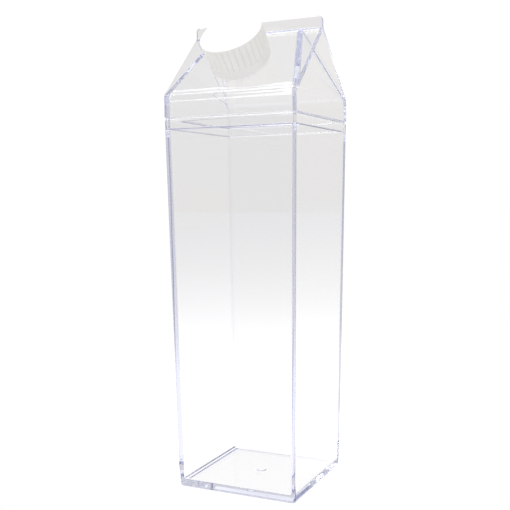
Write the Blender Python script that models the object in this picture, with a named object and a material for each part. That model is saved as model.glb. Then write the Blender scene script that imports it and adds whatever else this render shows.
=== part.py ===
"""A clear gable-top bottle with a white screw cap, modelled as three solids.

Lengths are in metres and +Z is up. The origin is the middle of the flat underside.
The bottle's width runs along X, and the roof slope that carries the cap faces -Y.

bottle_body  the tapered square tumbler, open at its rim
gable_top    the roof with its fin, side pockets and neck, on a tongue that sits in the rim
screw_cap    the ribbed cap, hollow, round the neck
"""
import math

import bmesh
import bpy
from mathutils import Matrix, Vector

# Main sizes
WIDTH = 0.0752
BASE_WIDTH = 0.0680
SEAM_Z = 0.1986
EAVE_Z = 0.2105
RIDGE_Z = 0.2453
TOP_Z = 0.2515
WALL = 0.0023
GAP = 0.0003

# Body
BODY_RIM_WIDTH = 0.0749
CORNER_RADIUS = 0.0009
INNER_CORNER_RADIUS = 0.0007
BASE_CORNER_RADIUS = 0.0021
BASE_CORNER_HEIGHT = 0.0120
BASE_EDGE_RADIUS = 0.0018
FLOOR_THICKNESS = 0.0036
FLOOR_FILLET = 0.0030
RIM_CHAMFER = 0.0003
LIP = 0.0010
TONGUE = 0.0010
TONGUE_DEPTH = 0.0052
GATE_MARK_RADIUS = 0.0028
GATE_MARK_HEIGHT = 0.0004

# Roof
FIN_THICKNESS = 0.0035
FIN_CORNER_RADIUS = 0.0025
POCKET_DEPTH = 0.0120
INSIDE_EDGE_RADIUS = 0.0012
POCKET_EDGE_RADIUS = 0.0010

# Neck and cap, measured from the point where their axis meets the front slope
NECK_Y = -0.0201
NECK_RADIUS = 0.0130
NECK_BORE_RADIUS = 0.0112
NECK_HEIGHT = 0.0161
THREAD_RADIUS = 0.0137
THREAD_WIDTH = 0.0016
THREAD_HEIGHTS = (0.0070, 0.0105, 0.0140)
CAP_RADIUS = 0.0166
CAP_SKIRT_RADIUS = 0.0160
CAP_FOOT = 0.0006
CAP_TOP = 0.0186
CAP_SKIRT_HEIGHT = 0.0046
CAP_BORE_RADIUS = 0.0142
CAP_TOP_THICKNESS = 0.0020
CAP_EDGE_RADIUS = 0.0010
CAP_RIBS = 32
RIB_DEPTH = 0.0006
RIB_RUNOUT = 0.0012

# Fineness of round shapes
CORNER_STEPS = 6
FILLET_STEPS = 4
NECK_SIDES = 64
RIB_POINTS = 4
MARK_SIDES = 24

# How far shapes run past each other where they are joined or cut
OVERLAP = 0.001
REACH = 0.005
TINY = 1e-6

SLOPE_RUN = (WIDTH - FIN_THICKNESS) / 2
SLOPE_ANGLE = math.atan2(RIDGE_Z - EAVE_Z, SLOPE_RUN)


def remove_scene_objects():
    """Empties the scene, so that the file holds this bottle alone."""
    for thing in list(bpy.data.objects):
        bpy.data.objects.remove(thing, do_unlink=True)


def make_material(name, colour, roughness, transmission=0.0, ior=1.5):
    """Returns a Principled material with no metal in it."""
    material = bpy.data.materials.new(name)
    material.use_nodes = True
    material.diffuse_color = (*colour, 1.0)
    shader = material.node_tree.nodes["Principled BSDF"]
    shader.inputs["Base Color"].default_value = (*colour, 1.0)
    shader.inputs["Roughness"].default_value = roughness
    shader.inputs["Metallic"].default_value = 0.0
    shader.inputs["Transmission Weight"].default_value = transmission
    shader.inputs["IOR"].default_value = ior
    return material


def clear_plastic():
    return make_material("clear_plastic", (0.93, 0.94, 0.98), 0.04, transmission=1.0, ior=1.57)


def white_plastic():
    return make_material("white_plastic", (0.90, 0.89, 0.87), 0.42)


def new_object(name, mesh_builder, material=None):
    """Turns a bmesh into an object of its own, with its faces pointing out."""
    bmesh.ops.recalc_face_normals(mesh_builder, faces=mesh_builder.faces)
    mesh = bpy.data.meshes.new(name)
    mesh_builder.to_mesh(mesh)
    mesh_builder.free()
    thing = bpy.data.objects.new(name, mesh)
    bpy.context.scene.collection.objects.link(thing)
    if material is not None:
        mesh.materials.append(material)
    return thing


def combine(target, tool, operation):
    """Joins, cuts or intersects the target with the tool, and removes the tool."""
    modifier = target.modifiers.new(operation.lower(), "BOOLEAN")
    modifier.operation = operation
    modifier.solver = "EXACT"
    modifier.object = tool
    bpy.context.view_layer.update()
    evaluated = target.evaluated_get(bpy.context.evaluated_depsgraph_get())
    mesh = bpy.data.meshes.new_from_object(evaluated)
    target.modifiers.clear()
    old_mesh = target.data
    target.data = mesh
    bpy.data.meshes.remove(old_mesh)
    bpy.data.objects.remove(tool, do_unlink=True)
    mesh.name = target.name


def shade_by_angle(thing, degrees=35):
    """Shades round stretches smooth and keeps corners sharp."""
    thing.data.shade_smooth()
    thing.data.set_sharp_from_angle(angle=math.radians(degrees))


def rounded_square(half, radius, z):
    """Points round a square with rounded corners, anticlockwise seen from above."""
    centre = half - radius
    points = []
    for corner in range(4):
        start = corner * math.pi / 2
        across = centre * (1 if corner in (0, 3) else -1)
        along = centre * (1 if corner in (0, 1) else -1)
        for step in range(CORNER_STEPS + 1):
            angle = start + step / CORNER_STEPS * math.pi / 2
            points.append(Vector((across + radius * math.cos(angle), along + radius * math.sin(angle), z)))
    return points


def circle(radius, z, sides):
    turn = 2 * math.pi / sides
    return [Vector((radius * math.cos(i * turn), radius * math.sin(i * turn), z)) for i in range(sides)]


def loft(rings):
    """A closed body through rings of equally many points, with its two ends filled."""
    body = bmesh.new()
    rows = [[body.verts.new(point) for point in ring] for ring in rings]
    count = len(rows[0])
    for lower, upper in zip(rows, rows[1:]):
        for i in range(count):
            j = (i + 1) % count
            body.faces.new((lower[i], lower[j], upper[j], upper[i]))
    body.faces.new(reversed(rows[0]))
    body.faces.new(rows[-1])
    return body


def prism_along_x(outline, left, right):
    """A body whose section is the same all along X, from an outline of (y, z) points."""
    body = bmesh.new()
    ends = [[body.verts.new((x, y, z)) for y, z in outline] for x in (left, right)]
    count = len(outline)
    for i in range(count):
        j = (i + 1) % count
        body.faces.new((ends[0][i], ends[0][j], ends[1][j], ends[1][i]))
    body.faces.new(reversed(ends[0]))
    body.faces.new(ends[1])
    return body


def round_edges(body, edges, radius, segments):
    bmesh.ops.bevel(body, geom=list(edges), offset=radius, segments=segments, profile=0.5,
                    affect="EDGES", clamp_overlap=True)


def body_half(z):
    """Half of the body's outside width at a height: its four walls share one draft."""
    return (BASE_WIDTH + (BODY_RIM_WIDTH - BASE_WIDTH) * z / SEAM_Z) / 2


def bottle_body(material):
    """The tumbler: outer wall, stepped rim, inner wall and filleted floor in one loft."""
    rings = []
    for step in range(FILLET_STEPS + 1):
        angle = step / FILLET_STEPS * math.pi / 2
        inset = BASE_EDGE_RADIUS * (1 - math.sin(angle))
        z = BASE_EDGE_RADIUS * (1 - math.cos(angle))
        rings.append(rounded_square(body_half(z) - inset, BASE_CORNER_RADIUS - inset, z))
    rings.append(rounded_square(body_half(BASE_CORNER_HEIGHT), CORNER_RADIUS, BASE_CORNER_HEIGHT))
    rim_z = SEAM_Z - GAP / 2
    ledge_z = SEAM_Z - TONGUE_DEPTH - GAP
    rings.append(rounded_square(body_half(rim_z), CORNER_RADIUS, rim_z - RIM_CHAMFER))
    rings.append(rounded_square(body_half(rim_z) - RIM_CHAMFER, CORNER_RADIUS - RIM_CHAMFER, rim_z))
    lip_half = body_half(rim_z) - LIP
    lip_corner = (CORNER_RADIUS + INNER_CORNER_RADIUS) / 2
    rings.append(rounded_square(lip_half, lip_corner, rim_z))
    rings.append(rounded_square(lip_half, lip_corner, ledge_z))
    rings.append(rounded_square(body_half(ledge_z) - WALL, INNER_CORNER_RADIUS, ledge_z))
    for step in range(FILLET_STEPS + 1):
        angle = step / FILLET_STEPS * math.pi / 2
        z = FLOOR_THICKNESS + FLOOR_FILLET * (1 - math.sin(angle))
        inset = FLOOR_FILLET * (1 - math.cos(angle))
        corner = INNER_CORNER_RADIUS * (1 - 0.5 * step / FILLET_STEPS)
        rings.append(rounded_square(body_half(z) - WALL - inset, corner, z))
    body = new_object("bottle_body", loft(rings), material)
    mark = new_object("gate_mark", loft([
        circle(GATE_MARK_RADIUS, FLOOR_THICKNESS - OVERLAP, MARK_SIDES),
        circle(GATE_MARK_RADIUS, FLOOR_THICKNESS + GATE_MARK_HEIGHT / 2, MARK_SIDES),
        circle(GATE_MARK_RADIUS * 0.7, FLOOR_THICKNESS + GATE_MARK_HEIGHT, MARK_SIDES),
    ]))
    combine(body, mark, "UNION")
    shade_by_angle(body)
    return body


def underside_z(y):
    """Height of the roof plates' underside, which lies a wall's thickness below the slope."""
    outside = EAVE_Z + (WIDTH / 2 - abs(y)) * math.tan(SLOPE_ANGLE)
    return outside - WALL / math.cos(SLOPE_ANGLE)


def underside_y(z):
    """How far from the middle the plates' underside is at a height."""
    rise = z + WALL / math.cos(SLOPE_ANGLE) - EAVE_Z
    return WIDTH / 2 - rise / math.tan(SLOPE_ANGLE)


def pocket_x(z):
    """How far from the middle the outer face of a side panel is at a height."""
    return WIDTH / 2 - POCKET_DEPTH * (z - EAVE_Z) / (RIDGE_Z - EAVE_Z)


def roof_block():
    """The outside of band, slopes and fin, full width, with the band's corners rounded."""
    half = WIDTH / 2
    fin = FIN_THICKNESS / 2
    past = half + OVERLAP
    past_z = EAVE_Z - OVERLAP * math.tan(SLOPE_ANGLE)
    outline = [(-past, SEAM_Z - REACH), (past, SEAM_Z - REACH), (past, past_z), (fin, RIDGE_Z),
               (fin, TOP_Z), (-fin, TOP_Z), (-fin, RIDGE_Z), (-past, past_z)]
    block = new_object("gable_top", prism_along_x(outline, -past, past))
    bottom = SEAM_Z + GAP / 2
    plan = new_object("plan", loft([
        rounded_square(half - RIM_CHAMFER, CORNER_RADIUS - RIM_CHAMFER, bottom),
        rounded_square(half, CORNER_RADIUS, bottom + RIM_CHAMFER),
        rounded_square(half, CORNER_RADIUS, TOP_Z + REACH),
    ]))
    combine(block, plan, "INTERSECT")
    return block


def fin_corner_cutter(side):
    """What is cut off a fin's upper corner to round it."""
    radius = FIN_CORNER_RADIUS
    end = WIDTH / 2
    past_x, past_z = end + OVERLAP, TOP_Z + OVERLAP
    points = [(past_x, TOP_Z - radius), (past_x, past_z), (end - radius, past_z)]
    for step in range(CORNER_STEPS + 1):
        angle = math.pi / 2 * (1 - step / CORNER_STEPS)
        x = end - radius * (1 - math.cos(angle))
        z = TOP_Z - radius * (1 - math.sin(angle))
        points.append((x, z))
    cutter = bmesh.new()
    ends = [[cutter.verts.new((side * x, y, z)) for x, z in points] for y in (-REACH, REACH)]
    count = len(points)
    for i in range(count):
        j = (i + 1) % count
        cutter.faces.new((ends[0][i], ends[0][j], ends[1][j], ends[1][i]))
    cutter.faces.new(ends[0])
    cutter.faces.new(ends[1])
    return new_object("fin_corner", cutter)


def tongue():
    """The step under the band that sits inside the body's rim."""
    half = body_half(SEAM_Z) - LIP - GAP
    corner = INNER_CORNER_RADIUS + TONGUE / 2
    low = SEAM_Z - TONGUE_DEPTH
    return new_object("tongue", loft([
        rounded_square(half - RIM_CHAMFER, corner - RIM_CHAMFER, low),
        rounded_square(half, corner, low + RIM_CHAMFER),
        rounded_square(half, corner, SEAM_Z + OVERLAP),
    ]))


def hollow():
    """The space inside band and roof: a square shaft under a hipped tent."""
    half = body_half(SEAM_Z) - LIP - GAP - TONGUE
    low = SEAM_Z - TONGUE_DEPTH - OVERLAP
    apex_z = underside_z(0.0)
    side_wall = WALL / math.cos(math.atan2(POCKET_DEPTH, RIDGE_Z - EAVE_Z))
    tent = bmesh.new()
    foot_z = EAVE_Z - REACH
    for side in (-1, 1):
        tent.verts.new((side * (pocket_x(apex_z) - side_wall), 0.0, apex_z))
        for y in (-underside_y(foot_z), underside_y(foot_z)):
            tent.verts.new((side * (pocket_x(foot_z) - side_wall), y, foot_z))
            tent.verts.new((side * (pocket_x(foot_z) - side_wall), y, low))
    bmesh.ops.convex_hull(tent, input=tent.verts)
    bmesh.ops.dissolve_limit(tent, angle_limit=math.radians(1), verts=tent.verts, edges=tent.edges)
    slanted = [edge for edge in tent.edges if max(v.co.z for v in edge.verts) > EAVE_Z]
    round_edges(tent, slanted, INSIDE_EDGE_RADIUS, FILLET_STEPS)
    space = new_object("hollow", tent)
    shaft = new_object("shaft", loft([
        rounded_square(half, INNER_CORNER_RADIUS, low - OVERLAP),
        rounded_square(half, INNER_CORNER_RADIUS, TOP_Z),
    ]))
    combine(space, shaft, "INTERSECT")
    return space


def pocket_cutter(side):
    """The space outside a side panel and under the overhanging roof plates."""
    apex_z = underside_z(0.0)
    eave_y = underside_y(EAVE_Z)
    far = WIDTH / 2 + REACH
    cutter = bmesh.new()
    eave_x = pocket_x(EAVE_Z)
    inner = [(eave_x, -eave_y, EAVE_Z), (eave_x, eave_y, EAVE_Z), (pocket_x(apex_z), 0.0, apex_z)]
    near = [cutter.verts.new((side * x, y, z)) for x, y, z in inner]
    away = [cutter.verts.new((side * far, y, z)) for x, y, z in inner]
    for i in range(3):
        j = (i + 1) % 3
        cutter.faces.new((near[i], near[j], away[j], away[i]))
    cutter.faces.new(near)
    cutter.faces.new(away)
    ridge = [edge for edge in cutter.edges if all(abs(v.co.y) < TINY for v in edge.verts)]
    folds = [edge for edge in cutter.edges if near[2] in edge.verts and edge not in ridge]
    round_edges(cutter, ridge + folds, POCKET_EDGE_RADIUS, FILLET_STEPS)
    return new_object("pocket", cutter)


def neck_frame():
    """Where the neck's axis meets the front slope, with +Z along the axis."""
    foot = Vector((0.0, NECK_Y, EAVE_Z + (WIDTH / 2 + NECK_Y) * math.tan(SLOPE_ANGLE)))
    return Matrix.Translation(foot) @ Matrix.Rotation(SLOPE_ANGLE, 4, "X")


def neck_tube():
    """The neck's outside with three rings for the cap's thread, sunk into the roof plate."""
    half_ring = THREAD_WIDTH / 2
    rings = [circle(NECK_RADIUS, -WALL / 2, NECK_SIDES)]
    for height in THREAD_HEIGHTS:
        rings.append(circle(NECK_RADIUS, height - half_ring, NECK_SIDES))
        rings.append(circle(THREAD_RADIUS, height - half_ring / 3, NECK_SIDES))
        rings.append(circle(THREAD_RADIUS, height + half_ring / 3, NECK_SIDES))
        rings.append(circle(NECK_RADIUS, height + half_ring, NECK_SIDES))
    rings.append(circle(NECK_RADIUS, NECK_HEIGHT, NECK_SIDES))
    tube = new_object("neck", loft(rings))
    tube.matrix_world = neck_frame()
    return tube


def neck_bore():
    bore = new_object("bore", loft([
        circle(NECK_BORE_RADIUS, -WALL - REACH, NECK_SIDES),
        circle(NECK_BORE_RADIUS, NECK_HEIGHT + OVERLAP, NECK_SIDES),
    ]))
    bore.matrix_world = neck_frame()
    return bore


def gable_top(material):
    """Roof block with tongue and neck added, then its spaces cut out of it."""
    roof = roof_block()
    combine(roof, tongue(), "UNION")
    combine(roof, neck_tube(), "UNION")
    combine(roof, hollow(), "DIFFERENCE")
    combine(roof, neck_bore(), "DIFFERENCE")
    for side in (-1, 1):
        combine(roof, pocket_cutter(side), "DIFFERENCE")
        combine(roof, fin_corner_cutter(side), "DIFFERENCE")
    roof.data.materials.clear()
    roof.data.materials.append(material)
    shade_by_angle(roof)
    return roof


def ribbed_ring(radius, depth, z):
    """A ring with round ribs and a narrow groove between each two."""
    points = []
    for rib in range(CAP_RIBS):
        for part in range(RIB_POINTS):
            share = part / RIB_POINTS
            drop = depth * abs(2 * share - 1) ** 3
            angle = 2 * math.pi * (rib + share) / CAP_RIBS
            points.append(Vector(((radius - drop) * math.cos(angle), (radius - drop) * math.sin(angle), z)))
    return points


def screw_cap(material):
    """The cap in one loft: plain skirt, ribs, rounded top edge, closed top, and its inside."""
    foot, top = CAP_FOOT, CAP_TOP
    ribs_low = foot + CAP_SKIRT_HEIGHT
    ribs_high = top - CAP_EDGE_RADIUS
    ceiling = top - CAP_TOP_THICKNESS
    rings = [
        ribbed_ring(CAP_BORE_RADIUS, 0.0, ceiling),
        ribbed_ring(CAP_BORE_RADIUS, 0.0, foot),
        ribbed_ring(CAP_SKIRT_RADIUS - RIM_CHAMFER, 0.0, foot),
        ribbed_ring(CAP_SKIRT_RADIUS, 0.0, foot + RIM_CHAMFER),
        ribbed_ring(CAP_SKIRT_RADIUS, 0.0, ribs_low),
        ribbed_ring(CAP_RADIUS, RIB_DEPTH, ribs_low + RIB_RUNOUT),
        ribbed_ring(CAP_RADIUS, RIB_DEPTH, ribs_high),
    ]
    for step in range(1, FILLET_STEPS + 1):
        angle = step / FILLET_STEPS * math.pi / 2
        inset = CAP_EDGE_RADIUS * (1 - math.cos(angle))
        z = ribs_high + CAP_EDGE_RADIUS * math.sin(angle)
        rings.append(ribbed_ring(CAP_RADIUS - inset, RIB_DEPTH * (1 - step / FILLET_STEPS), z))
    cap = new_object("screw_cap", loft(rings), material)
    cap.matrix_world = neck_frame()
    shade_by_angle(cap)
    return cap


def main():
    remove_scene_objects()
    clear = clear_plastic()
    bottle_body(clear)
    gable_top(clear)
    screw_cap(white_plastic())


main()
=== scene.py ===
"""Looks of the clear gable-top bottle: fine surfaces, clear plastic, a white cap and a pale studio.

Lengths are in metres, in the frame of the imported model: +Z is up and the cap's side faces -Y.
"""

import math

import bmesh
import bpy
from mathutils import Matrix, Vector


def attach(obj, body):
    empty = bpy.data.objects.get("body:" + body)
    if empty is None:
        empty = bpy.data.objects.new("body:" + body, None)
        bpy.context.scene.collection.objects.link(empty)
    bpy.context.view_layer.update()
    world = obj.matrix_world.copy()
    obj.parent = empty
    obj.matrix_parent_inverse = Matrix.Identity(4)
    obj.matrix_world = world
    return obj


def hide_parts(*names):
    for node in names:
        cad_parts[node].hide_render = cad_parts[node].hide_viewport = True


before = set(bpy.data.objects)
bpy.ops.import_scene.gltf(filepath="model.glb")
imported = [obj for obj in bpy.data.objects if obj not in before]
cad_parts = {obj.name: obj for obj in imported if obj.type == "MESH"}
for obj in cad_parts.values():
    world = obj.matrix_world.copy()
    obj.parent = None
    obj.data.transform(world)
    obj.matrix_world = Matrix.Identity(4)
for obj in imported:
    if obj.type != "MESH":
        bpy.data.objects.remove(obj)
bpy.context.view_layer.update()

# The photograph's camera, as fitted to the bottle's corners
CAMERA_AZIMUTH = math.radians(25.355)
CAMERA_ELEVATION = math.radians(4.239)
CAMERA_ROLL = math.radians(-0.5695)
CAMERA_DISTANCE = 0.45649
CAMERA_TARGET = Vector((0.0, 0.0, 0.12857))
CAMERA_OFFSET = (0.00277, 0.00373)
FRAME_PIXELS = 510
FOCAL_PIXELS = 824.36
SENSOR_WIDTH = 36.0


def make_camera():
    """A camera at the photograph's viewing angle, rolled slightly as the photograph is."""
    azimuth, elevation = CAMERA_AZIMUTH, CAMERA_ELEVATION
    back = Vector((math.sin(azimuth) * math.cos(elevation),
                   -math.cos(azimuth) * math.cos(elevation), math.sin(elevation)))
    level_right = Vector((0, 0, 1)).cross(back).normalized()
    level_up = back.cross(level_right)
    turn, lean = math.cos(CAMERA_ROLL), math.sin(CAMERA_ROLL)
    right = turn * level_right + lean * level_up
    up = turn * level_up - lean * level_right
    place = CAMERA_TARGET + back * CAMERA_DISTANCE
    place -= right * CAMERA_OFFSET[0] + up * CAMERA_OFFSET[1]
    data = bpy.data.cameras.new("camera")
    data.sensor_width = SENSOR_WIDTH
    data.lens = SENSOR_WIDTH * FOCAL_PIXELS / FRAME_PIXELS
    data.clip_start, data.clip_end = 0.01, 50.0
    camera = bpy.data.objects.new("camera", data)
    turned = Matrix((right, up, back)).transposed().to_4x4()
    camera.matrix_world = Matrix.Translation(place) @ turned
    bpy.context.scene.collection.objects.link(camera)
    bpy.context.scene.camera = camera


# Sizes of the bottle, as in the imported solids
WIDTH = 0.0752
BASE_WIDTH = 0.0680
RIM_WIDTH = 0.0749
SEAM_Z = 0.1986
EAVE_Z = 0.2105
RIDGE_Z = 0.2453
TOP_Z = 0.2515
WALL = 0.0023
GAP = 0.0003

# Body
CORNER_RADIUS = 0.0009
INNER_CORNER_RADIUS = 0.0007
BASE_CORNER_RADIUS = 0.0021
BASE_CORNER_HEIGHT = 0.0120
BASE_EDGE_RADIUS = 0.0018
FLOOR_THICKNESS = 0.0036
FLOOR_FILLET = 0.0030
FLOOR_FILLET_HEIGHT = 0.0013
RIM_ROUNDING = 0.0003
SEAM_ROUNDING = 0.0006
RIM_BEVEL_DEPTH = 0.0007
RIM_BEVEL_HEIGHT = 0.0020
LIP = 0.0010
TONGUE = 0.0010
TONGUE_DEPTH = 0.0052
GATE_MARK_RADIUS = 0.0028
GATE_MARK_HEIGHT = 0.0004
GATE_MARK_ROUNDING = 0.8
GATE_MARK_FLAT = 0.5
FLOOR_CORNER_SHRINK = 0.5

# Roof
FIN_THICKNESS = 0.0035
FIN_CORNER_RADIUS = 0.0025
FIN_EDGE_RADIUS = 0.0007
FIN_ROOT_RADIUS = 0.0009
EAVE_RADIUS = 0.0035
INNER_EAVE_RADIUS = 0.0120
INNER_SIDE_RADIUS = 0.0012
INNER_RIDGE_RADIUS = 0.0004
RIDGE_CORNER_SHARE = 0.9
PLATE_EDGE_RADIUS = 0.0011
PLATE_TAPER = 0.0040
POCKET_DEPTH = 0.0120
POCKET_FOLD_RADIUS = 0.0010

# Neck and cap, measured from the point where their axis meets the front slope
NECK_Y = -0.0201
NECK_RADIUS = 0.0130
NECK_BORE_RADIUS = 0.0112
NECK_HEIGHT = 0.0161
NECK_ROOT_RADIUS = 0.0009
BORE_FLARE = 0.0010
THREAD_RADIUS = 0.0137
THREAD_WIDTH = 0.0016
THREAD_HEIGHTS = (0.0070, 0.0105, 0.0140)
THREAD_CREST = 0.3
CAP_RADIUS = 0.01654
CAP_SKIRT_RADIUS = 0.0160
CAP_FOOT = 0.0006
CAP_TOP = 0.0186
CAP_SKIRT_HEIGHT = 0.0042
CAP_BORE_RADIUS = 0.0142
CAP_TOP_THICKNESS = 0.0020
CAP_EDGE_RADIUS = 0.0010
CAP_RIM_HEIGHT = 0.0010
CAP_RIBS = 32
RIB_END = 0.0014
RIB_SQUARENESS = 5

# Fineness of round shapes
CORNER_STEPS = 10
ARC_STEPS = 8
NECK_SIDES = 96
RIB_POINTS = 14
CAP_FOOT_STEPS = 4
MARK_SIDES = 32
SHARP_ANGLE = math.radians(32)
FLATS_WEIGHT = 100

# How far shapes run past each other where they are joined or cut
OVERLAP = 0.001
REACH = 0.005
SINK = 0.00004
TINY = 1e-6

HALF = WIDTH / 2
SLOPE_ANGLE = math.atan2(RIDGE_Z - EAVE_Z, HALF - FIN_THICKNESS / 2)
SEAM_BOTTOM = SEAM_Z + GAP / 2


def new_piece(name, mesh_builder):
    """Turns a bmesh into an object of its own, with its faces pointing out."""
    bmesh.ops.recalc_face_normals(mesh_builder, faces=mesh_builder.faces)
    mesh = bpy.data.meshes.new(name)
    mesh_builder.to_mesh(mesh)
    mesh_builder.free()
    piece = bpy.data.objects.new(name, mesh)
    bpy.context.scene.collection.objects.link(piece)
    return piece


def combine(target, tool, operation):
    """Joins, cuts or intersects the target with the tool, and removes the tool."""
    modifier = target.modifiers.new(operation.lower(), "BOOLEAN")
    modifier.operation = operation
    modifier.solver = "EXACT"
    modifier.object = tool
    bpy.context.view_layer.update()
    evaluated = target.evaluated_get(bpy.context.evaluated_depsgraph_get())
    mesh = bpy.data.meshes.new_from_object(evaluated)
    target.modifiers.clear()
    old_mesh = target.data
    target.data = mesh
    bpy.data.meshes.remove(old_mesh)
    bpy.data.objects.remove(tool, do_unlink=True)
    mesh.name = target.name


def section(half_x, half_y, radius, z):
    """Points round a rectangle with rounded corners, anticlockwise seen from above."""
    points = []
    for corner in range(4):
        across = (half_x - radius) * (1 if corner in (0, 3) else -1)
        along = (half_y - radius) * (1 if corner in (0, 1) else -1)
        for step in range(CORNER_STEPS + 1):
            angle = (corner + step / CORNER_STEPS) * math.pi / 2
            points.append((across + radius * math.cos(angle), along + radius * math.sin(angle), z))
    return points


def circle(radius, z, sides):
    turn = 2 * math.pi / sides
    return [(radius * math.cos(i * turn), radius * math.sin(i * turn), z) for i in range(sides)]


def loft(rings):
    """A closed body through rings of equally many points, with its two ends filled."""
    body = bmesh.new()
    rows = [[body.verts.new(point) for point in ring] for ring in rings]
    count = len(rows[0])
    for lower, upper in zip(rows, rows[1:]):
        for i in range(count):
            j = (i + 1) % count
            body.faces.new((lower[i], lower[j], upper[j], upper[i]))
    body.faces.new(reversed(rows[0]))
    body.faces.new(rows[-1])
    return body


def rounded_path(corners, steps=ARC_STEPS):
    """A line through (across, up, radius) corners, each of them rounded by an arc of its radius."""
    path = []
    for i, (across, up, radius) in enumerate(corners):
        here = Vector((across, up))
        if radius == 0:
            path.append(here)
            continue
        before = (Vector(corners[i - 1][:2]) - here).normalized()
        after = (Vector(corners[i + 1][:2]) - here).normalized()
        half_angle = before.angle(after) / 2
        reach = radius / math.tan(half_angle)
        centre = here + (before + after).normalized() * radius / math.sin(half_angle)
        start = here + before * reach - centre
        end = here + after * reach - centre
        first = math.atan2(start.y, start.x)
        turn = (math.atan2(end.y, end.x) - first + math.pi) % (2 * math.pi) - math.pi
        for step in range(steps + 1):
            angle = first + turn * step / steps
            path.append(centre + radius * Vector((math.cos(angle), math.sin(angle))))
    return path


def across_at(path, z):
    """How far across a rising path is at a height."""
    for low, high in zip(path, path[1:]):
        if low.y - TINY <= z <= high.y + TINY and high.y - low.y > TINY:
            return low.x + (high.x - low.x) * (z - low.y) / (high.y - low.y)
    return path[0].x if z < path[0].y else path[-1].x


def lathe(corners, sides):
    """A round closed body from a path of (radius, height, rounding) corners, which rises."""
    return loft([circle(point.x, point.y, sides) for point in rounded_path(corners)])


def body_half(z):
    """Half of the body's outside width at a height: its four walls share one draft."""
    return (BASE_WIDTH + (RIM_WIDTH - BASE_WIDTH) * z / SEAM_Z) / 2


def bottle_shell():
    """The tumbler: outer wall, stepped rim, inner wall and filleted floor in one loft."""
    rings = []
    for step in range(ARC_STEPS + 1):
        angle = step / ARC_STEPS * math.pi / 2
        inset = BASE_EDGE_RADIUS * (1 - math.sin(angle))
        z = BASE_EDGE_RADIUS * (1 - math.cos(angle))
        half = body_half(z) - inset
        rings.append(section(half, half, BASE_CORNER_RADIUS - inset, z))
    for step in range(1, ARC_STEPS + 1):
        share = step / ARC_STEPS
        z = BASE_EDGE_RADIUS + (BASE_CORNER_HEIGHT - BASE_EDGE_RADIUS) * share
        sharper = (1 - math.cos(math.pi * share)) / 2
        radius = BASE_CORNER_RADIUS + (CORNER_RADIUS - BASE_CORNER_RADIUS) * sharper
        rings.append(section(body_half(z), body_half(z), radius, z))
    rim_z = SEAM_Z - GAP / 2
    ledge_z = SEAM_Z - TONGUE_DEPTH - GAP
    rim_half = body_half(rim_z)
    for step in range(ARC_STEPS + 1):
        angle = step / ARC_STEPS * math.pi / 2
        inset = RIM_BEVEL_DEPTH * (1 - math.cos(angle))
        z = rim_z - RIM_BEVEL_HEIGHT * (1 - math.sin(angle))
        rings.append(section(rim_half - inset, rim_half - inset, CORNER_RADIUS - inset, z))
    lip_corner = (CORNER_RADIUS + INNER_CORNER_RADIUS) / 2
    for z in (rim_z, ledge_z):
        rings.append(section(rim_half - LIP, rim_half - LIP, lip_corner, z))
    inner = body_half(ledge_z) - WALL
    wide = inner + RIM_ROUNDING
    rings.append(section(wide, wide, INNER_CORNER_RADIUS + RIM_ROUNDING, ledge_z))
    rings.append(section(inner, inner, INNER_CORNER_RADIUS, ledge_z - RIM_ROUNDING))
    for step in range(ARC_STEPS + 1):
        angle = step / ARC_STEPS * math.pi / 2
        z = FLOOR_THICKNESS + FLOOR_FILLET_HEIGHT * (1 - math.sin(angle))
        inset = FLOOR_FILLET * (1 - math.cos(angle))
        half = body_half(z) - WALL - inset
        corner = INNER_CORNER_RADIUS * (1 - FLOOR_CORNER_SHRINK * step / ARC_STEPS)
        rings.append(section(half, half, corner, z))
    shell = new_piece("bottle_shell", loft(rings))
    mark_top = FLOOR_THICKNESS + GATE_MARK_HEIGHT
    mark = new_piece("gate_mark", lathe([
        (GATE_MARK_RADIUS, FLOOR_THICKNESS - OVERLAP, 0),
        (GATE_MARK_RADIUS, mark_top, GATE_MARK_HEIGHT * GATE_MARK_ROUNDING),
        (GATE_MARK_RADIUS * GATE_MARK_FLAT, mark_top, 0),
    ], MARK_SIDES))
    combine(shell, mark, "UNION")
    return shell


def underside_z(y):
    """Height of the roof plates' underside, which lies a wall's thickness below the slope."""
    outside = EAVE_Z + (HALF - abs(y)) * math.tan(SLOPE_ANGLE)
    return outside - WALL / math.cos(SLOPE_ANGLE)


def underside_y(z):
    """How far from the middle the plates' underside is at a height."""
    rise = z + WALL / math.cos(SLOPE_ANGLE) - EAVE_Z
    return HALF - rise / math.tan(SLOPE_ANGLE)


def pocket_x(z):
    """How far from the middle the outer face of a side panel is at a height."""
    return HALF - POCKET_DEPTH * (z - EAVE_Z) / (RIDGE_Z - EAVE_Z)


def fin_half_x(z):
    """Half of the fin's length at a height: its upper corners are round."""
    rise = max(0.0, z - (TOP_Z - FIN_CORNER_RADIUS))
    return HALF - FIN_CORNER_RADIUS + math.sqrt(max(0.0, FIN_CORNER_RADIUS ** 2 - rise ** 2))


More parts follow.
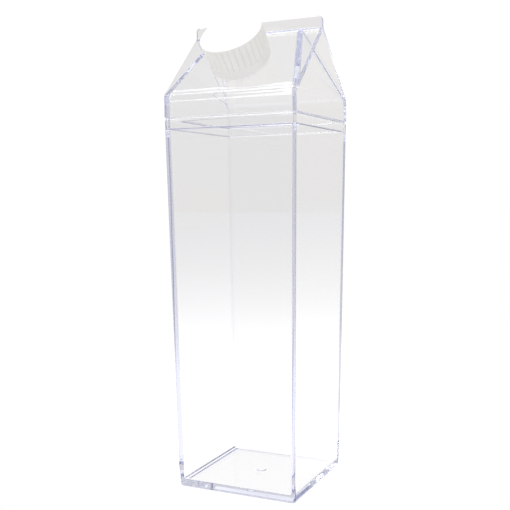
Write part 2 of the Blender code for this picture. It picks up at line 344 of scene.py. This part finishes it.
def roof_block():
    """The outside of band, slopes and fin: one loft of rounded rectangles, narrowing to the fin."""
    fin = FIN_THICKNESS / 2
    path = rounded_path([
        (HALF - REACH, SEAM_BOTTOM, 0),
        (HALF, SEAM_BOTTOM, SEAM_ROUNDING),
        (HALF, EAVE_Z, EAVE_RADIUS),
        (fin, RIDGE_Z, FIN_ROOT_RADIUS),
        (fin, TOP_Z, FIN_EDGE_RADIUS),
        (0.0, TOP_Z, 0),
    ])[1:-1]
    lower = TOP_Z - FIN_CORNER_RADIUS
    upper = TOP_Z - FIN_EDGE_RADIUS
    for step in range(ARC_STEPS):
        path.append(Vector((fin, lower + (upper - lower) * (step + 0.5) / ARC_STEPS)))
    path.sort(key=lambda point: point.y)
    rings = []
    for half_y, z in path:
        half_x = half_y if z < SEAM_BOTTOM + SEAM_ROUNDING else fin_half_x(z)
        taper = min(1.0, max(0.0, (z - EAVE_Z) / PLATE_TAPER))
        radius = CORNER_RADIUS + (PLATE_EDGE_RADIUS - CORNER_RADIUS) * taper
        rings.append(section(half_x, half_y, radius, z))
    return new_piece("gable_shell", loft(rings))


def pocket_cutter(side):
    """The space outside a side panel and under the overhanging roof plates."""
    apex_z = underside_z(0.0)
    eave_y = underside_y(EAVE_Z)
    far = HALF + REACH
    inner = [
        (pocket_x(EAVE_Z), -eave_y, EAVE_Z),
        (pocket_x(EAVE_Z), eave_y, EAVE_Z),
        (pocket_x(apex_z), 0.0, apex_z),
    ]
    cutter = bmesh.new()
    near = [cutter.verts.new((side * x, y, z)) for x, y, z in inner]
    away = [cutter.verts.new((side * far, y, z)) for x, y, z in inner]
    for i in range(3):
        j = (i + 1) % 3
        cutter.faces.new((near[i], near[j], away[j], away[i]))
    cutter.faces.new(near)
    cutter.faces.new(away)
    ridge = [edge for edge in cutter.edges if all(abs(v.co.y) < TINY for v in edge.verts)]
    folds = [edge for edge in cutter.edges if near[2] in edge.verts and edge not in ridge]
    bmesh.ops.bevel(cutter, geom=ridge + folds, offset=POCKET_FOLD_RADIUS, segments=ARC_STEPS, profile=0.5,
                    affect="EDGES", clamp_overlap=True)
    return new_piece("pocket", cutter)


def tongue():
    """The step under the band that sits inside the body's rim."""
    half = body_half(SEAM_Z) - LIP - GAP
    corner = INNER_CORNER_RADIUS + TONGUE / 2
    low = SEAM_Z - TONGUE_DEPTH
    rings = []
    for step in range(ARC_STEPS + 1):
        angle = step / ARC_STEPS * math.pi / 2
        inset = RIM_ROUNDING * (1 - math.sin(angle))
        z = low + RIM_ROUNDING * (1 - math.cos(angle))
        rings.append(section(half - inset, half - inset, corner - inset, z))
    rings.append(section(half, half, corner, SEAM_Z + OVERLAP))
    return new_piece("tongue", loft(rings))


def hollow():
    """The space inside band and roof: a square shaft that narrows to the ridge on four sides."""
    half = body_half(SEAM_Z) - LIP - GAP - TONGUE
    low = SEAM_Z - TONGUE_DEPTH - OVERLAP
    slant_wall = WALL / math.cos(math.atan2(POCKET_DEPTH, RIDGE_Z - EAVE_Z))
    apex_z = underside_z(0.0) - INNER_RIDGE_RADIUS
    bend_z = underside_z(half)
    lean_z = EAVE_Z + (HALF - slant_wall - half) * (RIDGE_Z - EAVE_Z) / POCKET_DEPTH
    front = rounded_path([(half, low, 0), (half, bend_z, INNER_EAVE_RADIUS),
                          (underside_y(apex_z), apex_z, INNER_RIDGE_RADIUS), (0.0, apex_z, 0)])
    side = rounded_path([(half, low, 0), (half, lean_z, INNER_SIDE_RADIUS),
                         (pocket_x(apex_z) - slant_wall, apex_z, 0)])
    rings = []
    heights = sorted({round(point.y, 7) for point in front[:-1] + side[:-1]})
    for z in heights:
        half_y = across_at(front[:-1], z)
        radius = min(INNER_CORNER_RADIUS, half_y * RIDGE_CORNER_SHARE)
        rings.append(section(across_at(side, z), half_y, radius, z))
    return new_piece("hollow", loft(rings))


def neck_frame():
    """Where the neck's axis meets the front slope, with +Z along the axis."""
    foot = Vector((0.0, NECK_Y, EAVE_Z + (HALF + NECK_Y) * math.tan(SLOPE_ANGLE)))
    return Matrix.Translation(foot) @ Matrix.Rotation(SLOPE_ANGLE, 4, "X")


def neck_tube():
    """The neck's outside with three rings for the cap's thread, on a small round foot."""
    path = rounded_path([
        (NECK_RADIUS + 2 * NECK_ROOT_RADIUS, -SINK, 0),
        (NECK_RADIUS, -SINK, NECK_ROOT_RADIUS),
        (NECK_RADIUS, 2 * NECK_ROOT_RADIUS, 0),
    ])
    rings = [circle(NECK_RADIUS + NECK_ROOT_RADIUS, -WALL / 2, NECK_SIDES)]
    rings += [circle(point.x, point.y, NECK_SIDES) for point in path[1:-1]]
    half_ring = THREAD_WIDTH / 2
    for height in THREAD_HEIGHTS:
        for radius, place in ((NECK_RADIUS, -1), (THREAD_RADIUS, -THREAD_CREST),
                              (THREAD_RADIUS, THREAD_CREST), (NECK_RADIUS, 1)):
            rings.append(circle(radius, height + place * half_ring, NECK_SIDES))
    rings.append(circle(NECK_RADIUS, NECK_HEIGHT, NECK_SIDES))
    tube = new_piece("neck", loft(rings))
    tube.matrix_world = neck_frame()
    return tube


def neck_bore():
    """The way through the neck, which widens roundly into the roof's inside."""
    wide = NECK_BORE_RADIUS + BORE_FLARE
    path = rounded_path([(wide + BORE_FLARE, -WALL - SINK, 0), (NECK_BORE_RADIUS, -WALL - SINK, BORE_FLARE),
                         (NECK_BORE_RADIUS, NECK_HEIGHT + OVERLAP, 0)])
    rings = [circle(wide, -WALL - OVERLAP, NECK_SIDES)]
    rings += [circle(point.x, point.y, NECK_SIDES) for point in path[1:]]
    bore = new_piece("bore", loft(rings))
    bore.matrix_world = neck_frame()
    return bore


def gable_shell():
    """The roof block with its pockets cut, then tongue and neck, then the space inside."""
    roof = roof_block()
    for side in (-1, 1):
        combine(roof, pocket_cutter(side), "DIFFERENCE")
    combine(roof, tongue(), "UNION")
    combine(roof, neck_tube(), "UNION")
    combine(roof, hollow(), "DIFFERENCE")
    combine(roof, neck_bore(), "DIFFERENCE")
    return roof


def rib_ring(z, reach, amount):
    """A ring of the cap: ribs out to its radius, as wide as reach allows, over the skirt's radius."""
    points = []
    for rib in range(CAP_RIBS):
        for part in range(RIB_POINTS):
            place = 2 * part / RIB_POINTS - 1
            swell = 0.0
            if reach > 0:
                swell = max(0.0, 1 - abs(place / reach) ** RIB_SQUARENESS)
            radius = CAP_SKIRT_RADIUS + (CAP_RADIUS - CAP_SKIRT_RADIUS) * swell * amount
            angle = 2 * math.pi * (rib + part / RIB_POINTS) / CAP_RIBS
            points.append((radius * math.cos(angle), radius * math.sin(angle), z))
    return points


def ribbed_cap():
    """The cap in one loft: its inside, plain skirt, ribs with round ends, and a rounded top edge."""
    count = CAP_RIBS * RIB_POINTS
    ribs_low = CAP_FOOT + CAP_SKIRT_HEIGHT
    ribs_high = CAP_TOP - CAP_RIM_HEIGHT
    ceiling = CAP_TOP - CAP_TOP_THICKNESS
    rings = [circle(CAP_BORE_RADIUS, ceiling, count), circle(CAP_BORE_RADIUS, CAP_FOOT, count)]
    foot = rounded_path([(CAP_BORE_RADIUS, CAP_FOOT, 0), (CAP_SKIRT_RADIUS, CAP_FOOT, RIM_ROUNDING),
                         (CAP_SKIRT_RADIUS, ribs_low, 0)], CAP_FOOT_STEPS)
    rings += [circle(point.x, point.y, count) for point in foot[1:-1]]
    for step in range(ARC_STEPS + 1):
        share = step / ARC_STEPS
        reach = math.sqrt(1 - (1 - share) ** 2)
        rings.append(rib_ring(ribs_low + RIB_END * share, reach, min(1.0, 2 * share)))
    rings.append(rib_ring(ribs_high - RIM_ROUNDING, 1.0, 1.0))
    top = rounded_path([(CAP_RADIUS, ribs_high, 0), (CAP_RADIUS, CAP_TOP, CAP_EDGE_RADIUS),
                        (CAP_BORE_RADIUS, CAP_TOP, 0)])
    rings += [circle(point.x, point.y, count) for point in top]
    cap = new_piece("ribbed_cap", loft(rings))
    cap.data.transform(neck_frame())
    return cap


def finish_piece(piece, node, material):
    """Smooths the round stretches, keeps the flats flat, and puts the piece in its node's place."""
    piece.data.materials.clear()
    piece.data.materials.append(material)
    piece.data.shade_smooth()
    piece.data.set_sharp_from_angle(angle=SHARP_ANGLE)
    flats = piece.modifiers.new("flats", "WEIGHTED_NORMAL")
    flats.keep_sharp = True
    flats.weight = FLATS_WEIGHT
    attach(piece, "root")
    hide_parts(node)


# Studio
BACKDROP = (0.825, 0.813, 0.798)
ROOM = (0.58, 0.59, 0.66)
ROOM_END = 0.45
BACKDROP_START = 0.78
OVERHEAD = (0.72, 0.72, 0.75)
OVERHEAD_START = 0.60
OVERHEAD_FULL = 0.85
SOFT_LIGHT = (0.885, 0.855, 0.832)
SEEN_WHITE = 1.02
FLOOR_SIZE = 6.0
FLOOR_Z = -0.0002
# The floor's glow paints a pool of light: brightest near and behind the bottle, dimmer farther off and at
# its sides
FLOOR_NEAR = 1.22
FLOOR_FAR = 0.822
FLOOR_FALL = 0.125
SIDES_START = 0.25
SIDES_END = 1.10
SIDES_NEAR = 0.86
SIDES_FAR = 0.60
FLOOR_GLOW = 0.88
# Painted shadow under the bottle: the floor's glow is dimmed inside this radius
UNDER_EDGE = 0.036
UNDER_END = 0.055
UNDER_SHADOW_DIM = 0.86
SECTOR_APEX = 0.12
SECTOR_WIDE = 0.35
SECTOR_NARROW = 0.75
LIGHT_PLACE = (-0.35, -0.45, 1.1)
LIGHT_TARGET = (0.0, 0.0, 0.2)
LIGHT_SIZE = 0.5
KEY_POWER = 3.4
FILL_POWER = 6.6
DIFFUSE_THRESHOLD = 0.5
BOUNCES = 96
CLEAR_BOUNCES = 16
AWAY = Vector((-math.sin(CAMERA_AZIMUTH), math.cos(CAMERA_AZIMUTH), 0.0))


def colour_ramp(nodes, stops):
    ramp = nodes.new("ShaderNodeValToRGB")
    elements = ramp.color_ramp.elements
    while len(elements) < len(stops):
        elements.new(0.5)
    for element, (place, colour) in zip(elements, stops):
        element.position = place
        element.color = (*colour, 1.0)
    return ramp


def vector_math(nodes, operation, constant=None):
    node = nodes.new("ShaderNodeVectorMath")
    node.operation = operation
    if constant is not None:
        node.inputs[1].default_value = constant
    return node


def map_range(nodes, low, high, at_low, at_high, smooth=False):
    node = nodes.new("ShaderNodeMapRange")
    if smooth:
        node.interpolation_type = "SMOOTHSTEP"
    for name, value in (("From Min", low), ("From Max", high), ("To Min", at_low), ("To Max", at_high)):
        node.inputs[name].default_value = value
    return node


def math_node(nodes, operation, constant=None):
    node = nodes.new("ShaderNodeMath")
    node.operation = operation
    if constant is not None:
        node.inputs[1].default_value = constant
    return node


def after_diffuse(nodes, links, path):
    """One for light that reaches the matt cap, also through the clear roof; zero for all other light."""
    after = math_node(nodes, "GREATER_THAN", DIFFUSE_THRESHOLD)
    links.new(path.outputs["Diffuse Depth"], after.inputs[0])
    return after


def make_world():
    """A bright backdrop behind the bottle, a dimmer room in front and overhead; white past the bottle."""
    world = bpy.data.worlds.new("studio")
    world.use_nodes = True
    bpy.context.scene.world = world
    tree = world.node_tree
    nodes, links = tree.nodes, tree.links
    nodes.clear()
    out = nodes.new("ShaderNodeOutputWorld")
    coords = nodes.new("ShaderNodeTexCoord")
    dot = vector_math(nodes, "DOT_PRODUCT", AWAY)
    links.new(coords.outputs["Generated"], dot.inputs[0])
    spread = map_range(nodes, -1.0, 1.0, 0.0, 1.0)
    links.new(dot.outputs["Value"], spread.inputs["Value"])
    ramp = colour_ramp(nodes, [(0.0, ROOM), (ROOM_END, ROOM), (BACKDROP_START, BACKDROP), (1.0, BACKDROP)])
    links.new(spread.outputs["Result"], ramp.inputs["Fac"])
    shown = nodes.new("ShaderNodeBackground")
    parts = nodes.new("ShaderNodeSeparateXYZ")
    links.new(coords.outputs["Generated"], parts.inputs["Vector"])
    upward = map_range(nodes, OVERHEAD_START, OVERHEAD_FULL, 0.0, 1.0, smooth=True)
    links.new(parts.outputs["Z"], upward.inputs["Value"])
    lit = nodes.new("ShaderNodeMix")
    lit.data_type = "RGBA"
    links.new(upward.outputs["Result"], lit.inputs["Factor"])
    links.new(ramp.outputs["Color"], lit.inputs["A"])
    lit.inputs["B"].default_value = (*OVERHEAD, 1.0)
    links.new(lit.outputs["Result"], shown.inputs["Color"])
    soft = nodes.new("ShaderNodeBackground")
    soft.inputs["Color"].default_value = (*SOFT_LIGHT, 1.0)
    seen = nodes.new("ShaderNodeBackground")
    seen.inputs["Color"].default_value = (1, 1, 1, 1)
    seen.inputs["Strength"].default_value = SEEN_WHITE
    path = nodes.new("ShaderNodeLightPath")
    by_diffuse = nodes.new("ShaderNodeMixShader")
    after = after_diffuse(nodes, links, path)
    links.new(after.outputs["Value"], by_diffuse.inputs["Fac"])
    links.new(shown.outputs["Background"], by_diffuse.inputs[1])
    links.new(soft.outputs["Background"], by_diffuse.inputs[2])
    by_camera = nodes.new("ShaderNodeMixShader")
    links.new(path.outputs["Is Camera Ray"], by_camera.inputs["Fac"])
    links.new(by_diffuse.outputs["Shader"], by_camera.inputs[1])
    links.new(seen.outputs["Background"], by_camera.inputs[2])
    links.new(by_camera.outputs["Shader"], out.inputs["Surface"])


def make_floor():
    """A wide pale glowing floor with painted light and shade: a painted pool of light behind the bottle,
    dimmer farther off and at its sides, and a painted shadow under it.
    """
    mesh = bpy.data.meshes.new("floor")
    size, z = FLOOR_SIZE, FLOOR_Z
    corners = [(-size, -size, z), (size, -size, z), (size, size, z), (-size, size, z)]
    mesh.from_pydata(corners, [], [(0, 1, 2, 3)])
    floor = bpy.data.objects.new("floor", mesh)
    bpy.context.scene.collection.objects.link(floor)
    material = bpy.data.materials.new("floor")
    material.use_nodes = True
    nodes, links = material.node_tree.nodes, material.node_tree.links
    nodes.clear()
    out = nodes.new("ShaderNodeOutputMaterial")
    coords = nodes.new("ShaderNodeTexCoord")
    # Painted pool of light: the glow falls off with distance, is dimmer at the sides and brighter in a
    # sector behind the bottle
    length = vector_math(nodes, "LENGTH")
    links.new(coords.outputs["Object"], length.inputs[0])
    inverse = math_node(nodes, "DIVIDE")
    inverse.inputs[0].default_value = FLOOR_FALL
    links.new(length.outputs["Value"], inverse.inputs[1])
    raised = math_node(nodes, "ADD", FLOOR_FAR)
    links.new(inverse.outputs["Value"], raised.inputs[0])
    fall = math_node(nodes, "MINIMUM", FLOOR_NEAR)
    links.new(raised.outputs["Value"], fall.inputs[0])
    sides = map_range(nodes, SIDES_START, SIDES_END, SIDES_NEAR, SIDES_FAR, smooth=True)
    links.new(length.outputs["Value"], sides.inputs["Value"])
    shift = vector_math(nodes, "ADD", AWAY * SECTOR_APEX)
    links.new(coords.outputs["Object"], shift.inputs[0])
    heading = vector_math(nodes, "NORMALIZE")
    links.new(shift.outputs["Vector"], heading.inputs[0])
    dot = vector_math(nodes, "DOT_PRODUCT", AWAY)
    links.new(heading.outputs["Vector"], dot.inputs[0])
    sector = map_range(nodes, SECTOR_WIDE, SECTOR_NARROW, 0.0, 1.0, smooth=True)
    links.new(dot.outputs["Value"], sector.inputs["Value"])
    shown = nodes.new("ShaderNodeMix")
    shown.data_type = "FLOAT"
    links.new(sides.outputs["Result"], shown.inputs["A"])
    links.new(sector.outputs["Result"], shown.inputs["Factor"])
    # Painted shadow: the floor's glow dims under the bottle
    under = map_range(nodes, UNDER_EDGE, UNDER_END, UNDER_SHADOW_DIM, 1.0, smooth=True)
    links.new(length.outputs["Value"], under.inputs["Value"])
    dimmed = math_node(nodes, "MULTIPLY")
    links.new(fall.outputs["Value"], dimmed.inputs[0])
    links.new(under.outputs["Result"], dimmed.inputs[1])
    links.new(dimmed.outputs["Value"], shown.inputs["B"])
    path = nodes.new("ShaderNodeLightPath")
    seen = math_node(nodes, "MAXIMUM")
    links.new(path.outputs["Is Camera Ray"], seen.inputs[0])
    links.new(shown.outputs["Result"], seen.inputs[1])
    dim = nodes.new("ShaderNodeMix")
    dim.data_type = "FLOAT"
    after = after_diffuse(nodes, links, path)
    links.new(after.outputs["Value"], dim.inputs["Factor"])
    links.new(seen.outputs["Value"], dim.inputs["A"])
    dim.inputs["B"].default_value = FLOOR_GLOW
    glow = nodes.new("ShaderNodeEmission")
    links.new(dim.outputs["Result"], glow.inputs["Strength"])
    links.new(glow.outputs["Emission"], out.inputs["Surface"])
    mesh.materials.append(material)


def make_light(name, power, glossy):
    """A square lamp above the front left, which shows in the plastic's surface only when glossy."""
    data = bpy.data.lights.new(name, "AREA")
    data.shape = "SQUARE"
    data.size = LIGHT_SIZE
    data.energy = power
    lamp = bpy.data.objects.new(name, data)
    lamp.location = LIGHT_PLACE
    aim = Vector(LIGHT_TARGET) - Vector(LIGHT_PLACE)
    lamp.rotation_euler = aim.to_track_quat("-Z", "Y").to_euler()
    lamp.visible_camera = False
    lamp.visible_glossy = glossy
    lamp.visible_transmission = glossy
    bpy.context.scene.collection.objects.link(lamp)


# Materials
PLASTIC_IOR = 1.57
TINT = (0.56, 0.59, 0.80)
TINT_DENSITY = 8.5
HAZE_SCALE = 45.0
HAZE_DETAIL = 3.0
HAZE_ROUGHNESS = 0.03
WAVE_SCALE = 28.0
WAVE_STRENGTH = 0.6
WAVE_HEIGHT = 0.0001
CAP_IOR = 1.49
CAP_ROUGHNESS = 0.42
CAP_CLOUD_SCALE = 120.0
CAP_TONES = [(0.3, (0.86, 0.85, 0.83)), (0.7, (0.89, 0.88, 0.865))]


def clear_plastic():
    """Clear styrene plastic: a smooth surface with a faint waviness, tinted only where it is thick."""
    material = bpy.data.materials.new("clear_plastic")
    material.use_nodes = True
    nodes, links = material.node_tree.nodes, material.node_tree.links
    shader = nodes["Principled BSDF"]
    shader.inputs["Base Color"].default_value = (1, 1, 1, 1)
    shader.inputs["Transmission Weight"].default_value = 1.0
    shader.inputs["IOR"].default_value = PLASTIC_IOR
    coords = nodes.new("ShaderNodeTexCoord")
    haze = nodes.new("ShaderNodeTexNoise")
    haze.inputs["Scale"].default_value = HAZE_SCALE
    haze.inputs["Detail"].default_value = HAZE_DETAIL
    links.new(coords.outputs["Object"], haze.inputs["Vector"])
    rough = nodes.new("ShaderNodeMapRange")
    rough.inputs["To Min"].default_value = 0.0
    rough.inputs["To Max"].default_value = HAZE_ROUGHNESS
    links.new(haze.outputs["Fac"], rough.inputs["Value"])
    links.new(rough.outputs["Result"], shader.inputs["Roughness"])
    waves = nodes.new("ShaderNodeTexNoise")
    waves.inputs["Scale"].default_value = WAVE_SCALE
    waves.inputs["Detail"].default_value = 0.0
    links.new(coords.outputs["Object"], waves.inputs["Vector"])
    bump = nodes.new("ShaderNodeBump")
    bump.inputs["Strength"].default_value = WAVE_STRENGTH
    bump.inputs["Distance"].default_value = WAVE_HEIGHT
    links.new(waves.outputs["Fac"], bump.inputs["Height"])
    links.new(bump.outputs["Normal"], shader.inputs["Normal"])
    volume = nodes.new("ShaderNodeVolumeAbsorption")
    volume.inputs["Color"].default_value = (*TINT, 1.0)
    volume.inputs["Density"].default_value = TINT_DENSITY
    out = nodes["Material Output"]
    links.new(volume.outputs["Volume"], out.inputs["Volume"])
    # Light on its way to the cap passes the clear roof unbent, so that the roof doesn't shade the cap
    path = nodes.new("ShaderNodeLightPath")
    unseen = math_node(nodes, "MAXIMUM")
    links.new(after_diffuse(nodes, links, path).outputs["Value"], unseen.inputs[0])
    links.new(path.outputs["Is Shadow Ray"], unseen.inputs[1])
    through = nodes.new("ShaderNodeBsdfTransparent")
    mixed = nodes.new("ShaderNodeMixShader")
    links.new(unseen.outputs["Value"], mixed.inputs["Fac"])
    links.new(shader.outputs["BSDF"], mixed.inputs[1])
    links.new(through.outputs["BSDF"], mixed.inputs[2])
    links.new(mixed.outputs["Shader"], out.inputs["Surface"])
    return material


def white_plastic():
    """Opaque white cap plastic with a soft sheen and a fine moulded texture."""
    material = bpy.data.materials.new("white_plastic")
    material.use_nodes = True
    nodes, links = material.node_tree.nodes, material.node_tree.links
    shader = nodes["Principled BSDF"]
    coords = nodes.new("ShaderNodeTexCoord")
    cloud = nodes.new("ShaderNodeTexNoise")
    cloud.inputs["Scale"].default_value = CAP_CLOUD_SCALE
    links.new(coords.outputs["Object"], cloud.inputs["Vector"])
    tone = colour_ramp(nodes, CAP_TONES)
    links.new(cloud.outputs["Fac"], tone.inputs["Fac"])
    links.new(tone.outputs["Color"], shader.inputs["Base Color"])
    shader.inputs["Roughness"].default_value = CAP_ROUGHNESS
    shader.inputs["IOR"].default_value = CAP_IOR
    return material


def main():
    make_camera()
    make_world()
    make_floor()
    make_light("key", KEY_POWER, glossy=True)
    make_light("fill", FILL_POWER, glossy=False)
    clear = clear_plastic()
    white = white_plastic()
    finish_piece(bottle_shell(), "bottle_body", clear)
    finish_piece(gable_shell(), "gable_top", clear)
    finish_piece(ribbed_cap(), "screw_cap", white)
    scene = bpy.context.scene
    scene.view_settings.view_transform = "Standard"
    scene.cycles.max_bounces = BOUNCES
    scene.cycles.transmission_bounces = BOUNCES
    scene.cycles.glossy_bounces = BOUNCES
    scene.cycles.transparent_max_bounces = CLEAR_BOUNCES


main()
